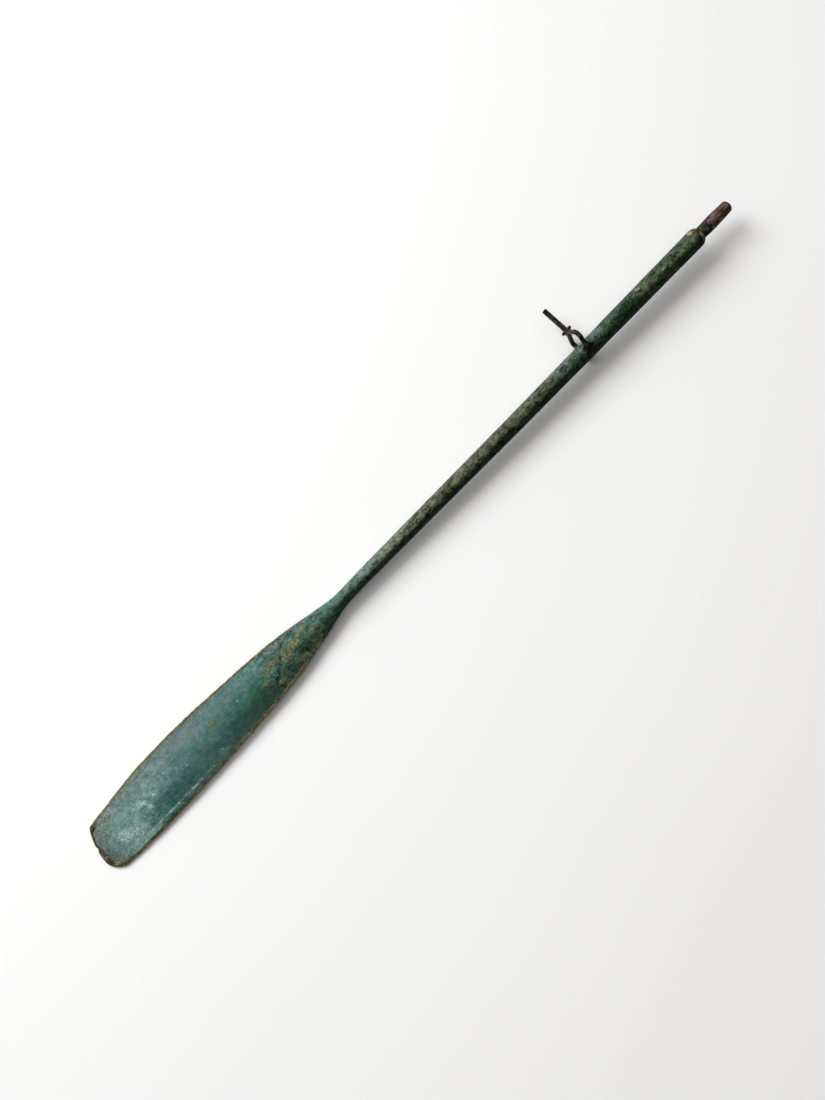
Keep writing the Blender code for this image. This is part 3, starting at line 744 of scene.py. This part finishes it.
def make_oar():
    count = SECTION_POINTS
    places = oar_places()
    skin = [(Vector((BOLT_AT - GRIP_END_GAP, 0, 0)), 0.0, 0.0, 1.0, 0.0)]
    skin += [oar_point(u, k) for u in places for k in range(count)]
    tip = Vector((BOLT_AT - OAR_LENGTH + TIP_GAP, -TIP_OFFSET, 0))
    skin.append((tip, OAR_LENGTH, 0.0, 1.0, 0.0))
    last, end = 1 + (len(places) - 1) * count, len(skin) - 1
    faces = [(0, 1 + (k + 1) % count, 1 + k) for k in range(count)]
    for r in range(len(places) - 1):
        a, b = 1 + r * count, 1 + (r + 1) * count
        for k in range(count):
            j = (k + 1) % count
            faces.append((a + k, a + j, b + j, b + k))
    faces += [(end, last + k, last + (k + 1) % count) for k in range(count)]
    mesh = bpy.data.meshes.new("painted_oar")
    mesh.from_pydata([tuple(place[0]) for place in skin], [], faces)
    tints, levels = zip(*(paint_at(*place) for place in skin))
    for name, values in zip(LEVELS, zip(*levels)):
        store(mesh, name, list(values))
    tint = mesh.attributes.new("tint", "FLOAT_COLOR", "POINT")
    tint.data.foreach_set("color", [part for colour in tints for part in colour])
    store(mesh, "skin", [1.0] * len(skin))
    mesh.shade_smooth()
    return cut_for_bolt(mesh)


def loft_mesh(rings):
    """A closed mesh through rings of points. A ring of one point is a tip."""
    bm = bmesh.new()
    made = [[bm.verts.new(p) for p in ring] for ring in rings]
    for a, b in zip(made, made[1:]):
        count = max(len(a), len(b))
        for i in range(count):
            j = (i + 1) % count
            corners = [a[i % len(a)], a[j % len(a)], b[j % len(b)], b[i % len(b)]]
            bm.faces.new(list(dict.fromkeys(corners)))
    for end in (made[0], made[-1]):
        if len(end) > 1:
            bm.faces.new(end)
    bmesh.ops.recalc_face_normals(bm, faces=bm.faces)
    return mesh_of(bm, "loft")


def circle(radius, sides, height=0.0):
    return [Vector((radius * math.cos(a), radius * math.sin(a), height))
            for a in ((i + 0.5) * math.tau / sides for i in range(sides))]


def uneven_circle(radius_at, sides, height):
    """A circle's points, from a function that gives the radius at each angle."""
    return [Vector((radius_at(a) * math.cos(a), radius_at(a) * math.sin(a), height))
            for a in (k * math.tau / sides for k in range(sides))]


def turned(profile, sides):
    return loft_mesh([circle(r, sides, z) if r > 0 else [Vector((0, 0, z))] for r, z in profile])


def plug(radius, low, high, sides):
    """A cylinder between two heights, to cut with."""
    return turned([(0, low), (radius, low), (radius, high), (0, high)], sides)


def baked(target, helpers=()):
    """The mesh of an object with its modifiers applied. The objects are removed."""
    bpy.context.view_layer.update()
    graph = bpy.context.evaluated_depsgraph_get()
    mesh = bpy.data.meshes.new_from_object(target.evaluated_get(graph), depsgraph=graph)
    for thing in (target, *helpers):
        bpy.data.objects.remove(thing, do_unlink=True)
    return mesh


def applied(base, tools):
    """A mesh with Boolean tools run on it, from (mesh, operation) pairs."""
    target = linked("target", base)
    helpers = []
    for mesh, operation in tools:
        helpers.append(linked("helper", mesh))
        step = target.modifiers.new("cut", "BOOLEAN")
        step.operation = operation
        step.solver = "EXACT"
        step.object = helpers[-1]
    return baked(target, helpers)


def cut_for_bolt(mesh):
    """Drills the oar for the bolt and faces its two seats, leaving the cut wood dark."""
    far = 0.03
    tools = [(plug(HOLE_RADIUS, -far, far, 40), "DIFFERENCE")]
    for side in (1, -1):
        low, high = sorted((side * SEAT_Z, side * far))
        tools.append((plug(SEAT_RADIUS, low, high, 56), "DIFFERENCE"))
    mesh = applied(mesh, tools)
    count = len(mesh.vertices)
    skin = np.empty(count, dtype=np.float32)
    tint = np.empty(count * 4, dtype=np.float32)
    mesh.attributes["skin"].data.foreach_get("value", skin)
    mesh.attributes["tint"].data.foreach_get("color", tint)
    tint = tint.reshape(-1, 4)
    tint[skin < 0.5] = (*SEAT_COLOUR, 1.0)
    mesh.attributes["tint"].data.foreach_set("color", tint.ravel())
    mesh.set_sharp_from_angle(angle=math.radians(50))
    return mesh


add_object("painted_oar", make_oar(), "oar", oar_material(), "oar_body")


# ---------------- the metal

BOLT_RADIUS = 0.00475
THREAD_DEPTH = 0.00062
THREAD_PITCH = 0.0016
THREAD_LENGTH = 0.0165
HEAD_RADIUS = 0.0075
HEAD_HEIGHT = 0.0055
OUTER_Z = 0.030149
NUT_Z = -0.040449
NUT_HEIGHT = 0.008
NUT_HALF = 0.008
BOLT_END_Z = -0.044449
WEAR_WASHER_Z = 0.019949
WEAR_WASHER_THICKNESS = 0.0016
WEAR_WASHER_RADIUS = 0.01075
NUT_WASHER_THICKNESS = 0.002
NUT_WASHER_RADIUS = 0.011
EYE_Z = 0.021849
EYE_THICKNESS = 0.008
EYE_RADIUS = 0.00975
EYE_MIDDLE_Z = EYE_Z + EYE_THICKNESS / 2
ARM_RADIUS = 0.0055
ARM_THIN = 0.0039
ARM_Z = EYE_MIDDLE_Z + 0.0125
SLOPE_START_Y = 0.0145
SLOPE_LENGTH = 0.0125
FORK_BEND_Y = 0.039349
CROTCH_Y = 0.057849
CROTCH_OVERLAP = 0.0022
FLANGE_Y = 0.060049
FLANGE_END_Y = 0.065049
SHANK_END_Y = 0.131049
SHANK_RADIUS = 0.00595
FORGING_VOXEL = 0.0005
PATINA_Y = 0.053
PATINA_HALF = 0.013

EYE_EDGE = 0.0012
ARM_BEND_RADII = (0.008, 0.008, 0.010)
ARM_BEND_STEPS = 12
# Painted shade round the bolt: full out to this distance from its axis, fading over the next, at
# this strength
BOLT_SHADE_HALF = 0.0155
BOLT_SHADE_FADE = 0.006
BOLT_SHADE_STRENGTH = 0.92
WASHER_EDGE = 0.00035
WASHER_WOBBLE = 0.00022
HEAD_DENT = 0.00022
BOLT_CHAMFER = 0.0008
BOLT_SIDES = 72
HEAD_STEPS = 22
NUT_EDGE = 0.0007
NUT_VOXEL = 0.00028
CRISP_ANGLE = math.radians(42)


def arrays(mesh):
    """Places, normals and edges of a mesh as arrays."""
    count = len(mesh.vertices)
    places = np.empty(count * 3, dtype=np.float32)
    normals = np.empty(count * 3, dtype=np.float32)
    edges = np.empty(len(mesh.edges) * 2, dtype=np.int32)
    mesh.vertices.foreach_get("co", places)
    mesh.vertex_normals.foreach_get("vector", normals)
    mesh.edges.foreach_get("vertices", edges)
    return (places.reshape(-1, 3).astype(float), normals.reshape(-1, 3).astype(float),
            edges.reshape(-1, 2))


def neighbour_mean(values, edges):
    """The mean of a value over each vertex's neighbours."""
    count = len(values)
    a, b = edges[:, 0], edges[:, 1]
    reach = np.bincount(a, minlength=count) + np.bincount(b, minlength=count)
    columns = values.reshape(count, -1)
    total = np.stack([np.bincount(a, col[b], count) + np.bincount(b, col[a], count)
                      for col in columns.T], axis=1)
    return (total / np.maximum(reach, 1)[:, None]).reshape(values.shape)


def set_places(mesh, places):
    mesh.vertices.foreach_set("co", places.astype(np.float32).ravel())
    mesh.update()


def fill_creases(mesh, rounds):
    """Fillets the inside corners, as a forging has them, and leaves the outside ones."""
    for _ in range(rounds):
        places, normals, edges = arrays(mesh)
        move = neighbour_mean(places, edges) - places
        out = np.einsum("ij,ij->i", move, normals)
        set_places(mesh, places + move * (0.7 * (out > 0))[:, None])


def soften(mesh, rounds):
    """Rounds every edge, inside and outside."""
    for _ in range(rounds):
        places, _, edges = arrays(mesh)
        set_places(mesh, places + 0.5 * (neighbour_mean(places, edges) - places))


def hammer(mesh, depth, scale, seed):
    """Sinks the surface unevenly, never past its first place."""
    places, normals, _ = arrays(mesh)
    sink = np.array([
        max(0.0, 0.5 + 0.9 * rough(*p, scale, seed) + 0.4 * rough(*p, scale / 3.3, seed + 4))
        for p in places
    ])
    set_places(mesh, places - normals * (depth * sink)[:, None])


def mark_wear(mesh):
    """Stores how sharp and how hollow the surface is, where the patina lies, and where near-black
    painted shade lies round the bolt.
    """
    places, normals, edges = arrays(mesh)
    a, b = edges[:, 0], edges[:, 1]
    along = places[b] - places[a]
    turn = np.einsum("ij,ij->i", normals[b] - normals[a], along)
    bend = turn / np.maximum(np.einsum("ij,ij->i", along, along), 1e-12)
    count = len(places)
    reach = np.maximum(np.bincount(a, minlength=count) + np.bincount(b, minlength=count), 1)
    curve = (np.bincount(a, bend, count) + np.bincount(b, bend, count)) / reach
    for _ in range(3):
        curve = 0.5 * curve + 0.5 * neighbour_mean(curve, edges)
    off_bolt = np.abs(places[:, 1])
    for name, value in (
        ("edge", np.clip((curve - 160) / 350, 0, 1)),
        ("hollow", np.clip(-curve / 120, 0, 1)),
        ("patina", np.clip(1 - np.abs(places[:, 1] - PATINA_Y) / PATINA_HALF, 0, 1)),
        ("bolt_shade", BOLT_SHADE_STRENGTH * np.clip((BOLT_SHADE_HALF - off_bolt) / BOLT_SHADE_FADE, 0, 1)),
    ):
        store(mesh, name, value.astype(np.float32))
    mesh.shade_smooth()


def remeshed(mesh, voxel):
    target = linked("target", mesh)
    step = target.modifiers.new("forge", "REMESH")
    step.mode = "VOXEL"
    step.voxel_size = voxel
    return baked(target)


def finished(mesh):
    """A metal piece, shaded smooth with its crisp edges kept."""
    mark_wear(mesh)
    mesh.set_sharp_from_angle(angle=CRISP_ANGLE)
    return mesh


def ring_mesh(sections, sides, wobble, seed):
    """A turned ring from closed (radius, height) pairs, a little out of true round its outside."""
    inner = min(r for r, _ in sections)
    bm = bmesh.new()
    made = []
    for r, z in sections:
        def radius_at(a):
            loss = wobble * (0.5 + rough(math.cos(a), math.sin(a), z * 200, 0.45, seed))
            return r - (max(loss, 0.0) if r > inner + 0.001 else 0.0)
        made.append([bm.verts.new(p) for p in uneven_circle(radius_at, sides, z)])
    for a, b in zip(made, made[1:] + made[:1]):
        for i in range(sides):
            j = (i + 1) % sides
            bm.faces.new((a[i], a[j], b[j], b[i]))
    bmesh.ops.recalc_face_normals(bm, faces=bm.faces)
    return mesh_of(bm, "ring")


def make_washer(radius, near_face, thickness, side, seed):
    """A flat washer with rolled edges, dished very slightly by wear round its bore."""
    low, high = sorted((side * near_face, side * (near_face + thickness)))
    bore, edge = HOLE_RADIUS, WASHER_EDGE

    def arc(steps):
        turns = (k * math.pi / (2 * steps) for k in range(steps + 1))
        return [(edge * (1 - math.cos(a)), edge * (1 - math.sin(a))) for a in turns]

    inner, outer = arc(4), arc(6)
    flat = [bore + edge + (radius - bore - 2 * edge) * k / 5 for k in range(1, 5)]
    profile = [(bore, low + edge), (bore, high - edge)]
    profile += [(bore + r, high - z) for r, z in inner]
    profile += [(r, high - 0.00005 * math.sin(k * 2.4 + seed) ** 2) for k, r in enumerate(flat, 1)]
    profile += [(radius - z, high - r) for r, z in outer]
    profile += [(radius - r, low + z) for r, z in outer]
    profile += [(r, low) for r in reversed(flat)]
    profile += [(bore + r, low + z) for r, z in reversed(inner[1:])]
    distinct = [profile[0]]
    for p in profile[1:]:
        if math.dist(p, distinct[-1]) > 1e-6:
            distinct.append(p)
    return finished(ring_mesh(distinct, 96, WASHER_WOBBLE, seed))


def thread_depth(a, z):
    """Depth of a rolled thread below the bolt's full size."""
    turn = (z / THREAD_PITCH - a / math.tau) % 1.0
    flank = clamp((abs(turn - 0.5) * 2 - 0.14) / 0.72)
    run_out = 1 - fade(z, BOLT_END_Z + THREAD_LENGTH - 0.002, BOLT_END_Z + THREAD_LENGTH)
    return THREAD_DEPTH * flank * run_out


def make_bolt():
    """A round-headed bolt, its thread cut at the nut's end."""
    thread_top = BOLT_END_Z + THREAD_LENGTH
    threaded = [(BOLT_END_Z, BOLT_RADIUS - BOLT_CHAMFER)]
    z = BOLT_END_Z + 0.0002
    while z < thread_top:
        threaded.append((z, min(BOLT_RADIUS, BOLT_RADIUS - BOLT_CHAMFER + (z - BOLT_END_Z))))
        z += THREAD_PITCH / 12
    rings = [[Vector((0, 0, BOLT_END_Z))]]
    for height, radius in threaded:
        rings.append(uneven_circle(
            lambda a: min(radius, BOLT_RADIUS - thread_depth(a, height)), BOLT_SIDES, height))
    smooth = [
        (BOLT_RADIUS, thread_top + 0.0004), (BOLT_RADIUS, 0.0), (BOLT_RADIUS, OUTER_Z - 0.0004),
        (BOLT_RADIUS, OUTER_Z), (HEAD_RADIUS - 0.0006, OUTER_Z),
        (HEAD_RADIUS - 0.00015, OUTER_Z + 0.00012),
    ]
    for k in range(1, HEAD_STEPS):
        a = k * math.pi / 2 / HEAD_STEPS
        smooth.append((HEAD_RADIUS * math.cos(a), OUTER_Z + HEAD_HEIGHT * math.sin(a)))
    for radius, height in smooth:
        rings.append(uneven_circle(lambda a: radius, BOLT_SIDES, height))
    rings.append([Vector((0, 0, OUTER_Z + HEAD_HEIGHT))])
    mesh = loft_mesh(rings)
    places, normals, _ = arrays(mesh)
    head_start = OUTER_Z + 0.0006
    for i, p in enumerate(places):
        if p[2] > head_start:
            dent = 0.35 + 0.8 * rough(*p, 0.0032, 6.0) + 0.4 * rough(*p, 0.0013, 9.0)
            share = fade(p[2], head_start, OUTER_Z + 0.002)
            places[i] = p - normals[i] * HEAD_DENT * max(dent, 0.0) * share
    set_places(mesh, places)
    return finished(mesh)


def make_nut():
    """A square nut, its outer corners turned down and its edges worn."""
    half = NUT_HALF - 0.00002
    top = NUT_Z + NUT_HEIGHT
    bm = bmesh.new()
    bmesh.ops.create_cube(bm, size=1.0)
    bmesh.ops.scale(bm, vec=(2 * half, 2 * half, NUT_HEIGHT), verts=bm.verts)
    bmesh.ops.translate(bm, vec=(0, 0, NUT_Z + NUT_HEIGHT / 2), verts=bm.verts)
    bmesh.ops.bevel(bm, geom=bm.edges[:], offset=NUT_EDGE, segments=4, profile=0.5, affect="EDGES")
    block = mesh_of(bm, "block")
    corner = half * math.sqrt(2)
    turned_down = turned([
        (0, NUT_Z - 0.001), (half * 0.90, NUT_Z - 0.001), (half * 0.98, NUT_Z),
        (corner, NUT_Z + 0.0021), (corner + 0.001, NUT_Z + 0.003), (corner + 0.001, top + 0.001),
        (0, top + 0.001),
    ], 96)
    mesh = remeshed(applied(block, [(turned_down, "INTERSECT")]), NUT_VOXEL)
    soften(mesh, 2)
    hammer(mesh, 0.00012, 0.0035, 21.0)
    bore = turned([
        (0, NUT_Z - 0.002), (HOLE_RADIUS + 0.002, NUT_Z - 0.002), (HOLE_RADIUS, NUT_Z + 0.0007),
        (HOLE_RADIUS, top + 0.002), (0, top + 0.002),
    ], 64)
    return finished(applied(mesh, [(bore, "DIFFERENCE")]))


def rounded_path(corners, radii, steps):
    """A path through corners, each inner one rounded to its radius."""
    path = [corners[0]]
    for before, corner, after, radius in zip(corners, corners[1:], corners[2:], radii):
        arrive, leave = (corner - before).normalized(), (after - corner).normalized()
        turn = arrive.angle(leave)
        centre = corner + (leave - arrive).normalized() * (radius / math.cos(turn / 2))
        start = corner - arrive * radius * math.tan(turn / 2) - centre
        axis = arrive.cross(leave)
        path += [centre + Matrix.Rotation(turn * k / steps, 3, axis) @ start
                 for k in range(steps + 1)]
    return path + [corners[-1]]


def arm_mesh(side):
    """A forged bar from the eye, out past the loom and in to the crotch."""
    path = rounded_path([
        Vector((0, HOLE_RADIUS + 0.001, side * EYE_MIDDLE_Z)),
        Vector((0, SLOPE_START_Y, side * EYE_MIDDLE_Z)),
        Vector((0, SLOPE_START_Y + SLOPE_LENGTH, side * ARM_Z)),
        Vector((0, FORK_BEND_Y, side * ARM_Z)),
        Vector((0, CROTCH_Y, side * CROTCH_OVERLAP)),
    ], ARM_BEND_RADII, ARM_BEND_STEPS)
    rings = []
    for i, point in enumerate(path):
        before, after = path[max(i - 1, 0)], path[min(i + 1, len(path) - 1)]
        across = (after - before).normalized().cross(Vector((1, 0, 0)))
        share = fade((point.y - SLOPE_START_Y) / SLOPE_LENGTH)
        half = ARM_THIN + (ARM_RADIUS - ARM_THIN) * share
        rings.append([point + Vector((ARM_RADIUS * p.x, 0, 0)) + across * half * p.y
                      for p in circle(1.0, 40)])
    return loft_mesh(rings)


def eye_mesh(side):
    low, high = sorted((side * EYE_Z, side * (EYE_Z + EYE_THICKNESS)))
    inner = EYE_RADIUS - EYE_EDGE
    return turned([
        (0, low), (inner, low), (EYE_RADIUS, low + EYE_EDGE), (EYE_RADIUS, high - EYE_EDGE),
        (inner, high), (0, high),
    ], 72)


def shank_mesh():
    """Neck, flange and shank, turned about +Y."""
    neck = FLANGE_Y - 0.0080
    mesh = turned([
        (0, neck), (0.00475, neck), (0.00825, neck + 0.0035), (0.01075, FLANGE_Y),
        (0.013, FLANGE_Y), (0.014, FLANGE_Y + 0.001), (0.014, FLANGE_END_Y - 0.001),
        (0.013, FLANGE_END_Y), (SHANK_RADIUS, FLANGE_END_Y), (SHANK_RADIUS, SHANK_END_Y - 0.0015),
        (SHANK_RADIUS - 0.0015, SHANK_END_Y), (0, SHANK_END_Y),
    ], 72)
    mesh.transform(Matrix.Rotation(-math.pi / 2, 4, "X"))
    return mesh


def make_oarlock():
    """The forging: two arms drawn out of a flanged shank, flattened into drilled eyes."""
    joins = [(made, "UNION") for side in (1, -1) for made in (arm_mesh(side), eye_mesh(side))]
    mesh = remeshed(applied(shank_mesh(), joins), FORGING_VOXEL)
    soften(mesh, 2)
    fill_creases(mesh, 30)
    soften(mesh, 1)
    hammer(mesh, 0.00020, 0.0060, 31.0)
    depth = EYE_Z + EYE_THICKNESS + 0.01
    drill = plug(HOLE_RADIUS, -depth, depth, 64)
    return finished(applied(mesh, [(drill, "DIFFERENCE")]))


iron = iron_material(
    "dark_forged_iron", dark=(0.008, 0.006, 0.007), brown=(0.046, 0.028, 0.031),
    rubbed=(0.17, 0.14, 0.14), metallic=0.60, smooth=0.44)
worn_steel = iron_material(
    "dull_worn_steel", dark=(0.022, 0.018, 0.017), brown=(0.060, 0.050, 0.046),
    rubbed=(0.20, 0.18, 0.17), metallic=0.70, smooth=0.50)
rusty = iron_material(
    "rusty_steel", dark=(0.008, 0.006, 0.006), brown=(0.026, 0.015, 0.016),
    rubbed=(0.20, 0.130, 0.125), metallic=0.60, smooth=0.38)
add_object("forged_oarlock", make_oarlock(), "oarlock", iron, "oarlock_yoke")
add_object("round_head_bolt", make_bolt(), "oar", rusty, "pivot_bolt")
add_object("square_nut", make_nut(), "oar", rusty, "pivot_nut")
wear_washer = (WEAR_WASHER_RADIUS, WEAR_WASHER_Z, WEAR_WASHER_THICKNESS)
nut_washer = (NUT_WASHER_RADIUS, OUTER_Z, NUT_WASHER_THICKNESS)
for new_name, sizes, side, seed, node in (
    ("upper_wear_washer", wear_washer, 1, 1.0, "wear_washer_upper"),
    ("lower_wear_washer", wear_washer, -1, 2.0, "wear_washer_lower"),
    ("outer_nut_washer", nut_washer, -1, 3.0, "nut_washer"),
):
    washer = make_washer(*sizes, side, seed)
    add_object(new_name, washer, "oar", worn_steel, node)


# ---------------- floor, light and camera

# The light comes from the oarlock's side, and the camera looks almost straight down
LIGHT_WAY = Vector((-0.23, 0.70, 0.66)).normalized()
LIGHT_DISTANCE = 6.4
LIGHT_SIZE = 4.2
LIGHT_WATTS = 398
LIGHT_COLOUR = (0.972, 0.992, 1.0)
WORLD_COLOUR = (1.0, 0.966, 0.942, 1.0)
WORLD_DIM, WORLD_BRIGHT = 0.05, 0.92
FLOOR_HALF = 14.0
FLOOR_COLOURS = (0.868, 0.869, 0.872), (0.888, 0.889, 0.892)
CAMERA_AZIMUTH = math.radians(-136.10)
CAMERA_ELEVATION = math.radians(78.82)
CAMERA_DISTANCE = 3.0542
CAMERA_TARGET = Vector((-0.0671, -0.0598, 0.0))
CAMERA_LENS = 61.09
CAMERA_SENSOR = 36.0


def make_floor():
    g = Graph("pale_floor")
    material = g.finish(g.mix(g.noise(1.3, 2.0), *FLOOR_COLOURS), 0.7)
    bm = bmesh.new()
    bmesh.ops.create_grid(bm, x_segments=8, y_segments=8, size=FLOOR_HALF)
    mesh = mesh_of(bm, "floor")
    mesh.materials.append(material)
    floor = linked("floor", mesh)


def aim(thing, target):
    thing.rotation_euler = (target - thing.location).to_track_quat("-Z", "Y").to_euler()


def make_light():
    data = bpy.data.lights.new("key", "AREA")
    data.shape = "DISK"
    data.size = LIGHT_SIZE
    data.energy = LIGHT_WATTS
    data.color = LIGHT_COLOUR
    light = linked("key", data)
    light.location = LIGHT_WAY * LIGHT_DISTANCE
    aim(light, Vector((0, 0, 0)))


def make_camera():
    level = math.cos(CAMERA_ELEVATION)
    back = Vector((level * math.cos(CAMERA_AZIMUTH), level * math.sin(CAMERA_AZIMUTH),
                   math.sin(CAMERA_ELEVATION)))
    data = bpy.data.cameras.new("camera")
    data.sensor_fit = "HORIZONTAL"
    data.sensor_width = CAMERA_SENSOR
    data.lens = CAMERA_LENS
    camera = linked("camera", data)
    camera.location = CAMERA_TARGET + back * CAMERA_DISTANCE
    aim(camera, CAMERA_TARGET)
    bpy.context.scene.camera = camera


def make_world():
    """A studio that is bright on the light's side and dim on the other."""
    world = bpy.data.worlds.new("studio")
    world.use_nodes = True
    nodes, links = world.node_tree.nodes, world.node_tree.links
    back = nodes["Background"]
    back.inputs["Color"].default_value = WORLD_COLOUR
    way = nodes.new("ShaderNodeTexCoord")
    along = nodes.new("ShaderNodeVectorMath")
    along.operation = "DOT_PRODUCT"
    along.inputs[1].default_value = LIGHT_WAY
    level = nodes.new("ShaderNodeMapRange")
    level.interpolation_type = "SMOOTHSTEP"
    level.inputs["From Min"].default_value = -0.1
    level.inputs["From Max"].default_value = 1.0
    level.inputs["To Min"].default_value = WORLD_DIM
    level.inputs["To Max"].default_value = WORLD_BRIGHT
    links.new(way.outputs["Generated"], along.inputs[0])
    links.new(along.outputs["Value"], level.inputs["Value"])
    links.new(level.outputs[0], back.inputs["Strength"])
    bpy.context.scene.world = world


make_floor()
make_world()
make_light()
make_camera()
bpy.context.scene.view_settings.view_transform = "Standard"
